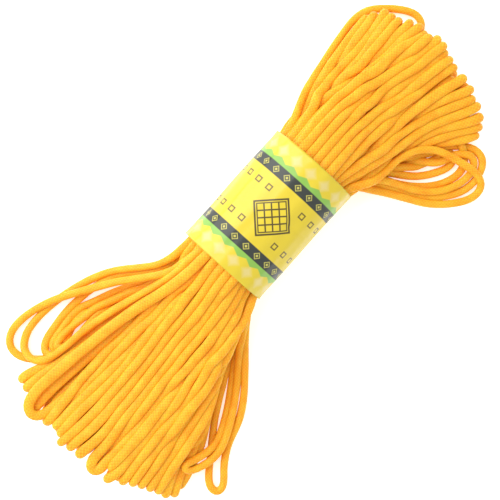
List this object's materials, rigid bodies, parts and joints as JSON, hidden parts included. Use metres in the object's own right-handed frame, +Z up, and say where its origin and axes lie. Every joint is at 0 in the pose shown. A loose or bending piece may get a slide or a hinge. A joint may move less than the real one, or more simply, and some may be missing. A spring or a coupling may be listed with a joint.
{
  "type": "skein of rattail cord",
  "caption": "Flat skein of satin rattail cord, wound back and forth, fanned at both ends with open loops, and held at its waist by a printed paper band.",
  "frame": {"origin": "on the flat underside of the paper band, at the level of the surface that the skein lies on", "axes": "+X along the skein, towards its shorter fan; +Y across it; +Z up"},
  "size_m": [0.1784, 0.087, 0.0246],
  "materials": {
    "satin_cord": "woven satin rattail with a soft sheen, dyed golden yellow",
    "printed_paper": "glossy printed paper"
  },
  "bodies": {
    "root": {"cord_skein": "satin_cord", "paper_band": "printed_paper"}
  },
  "joints": []
}
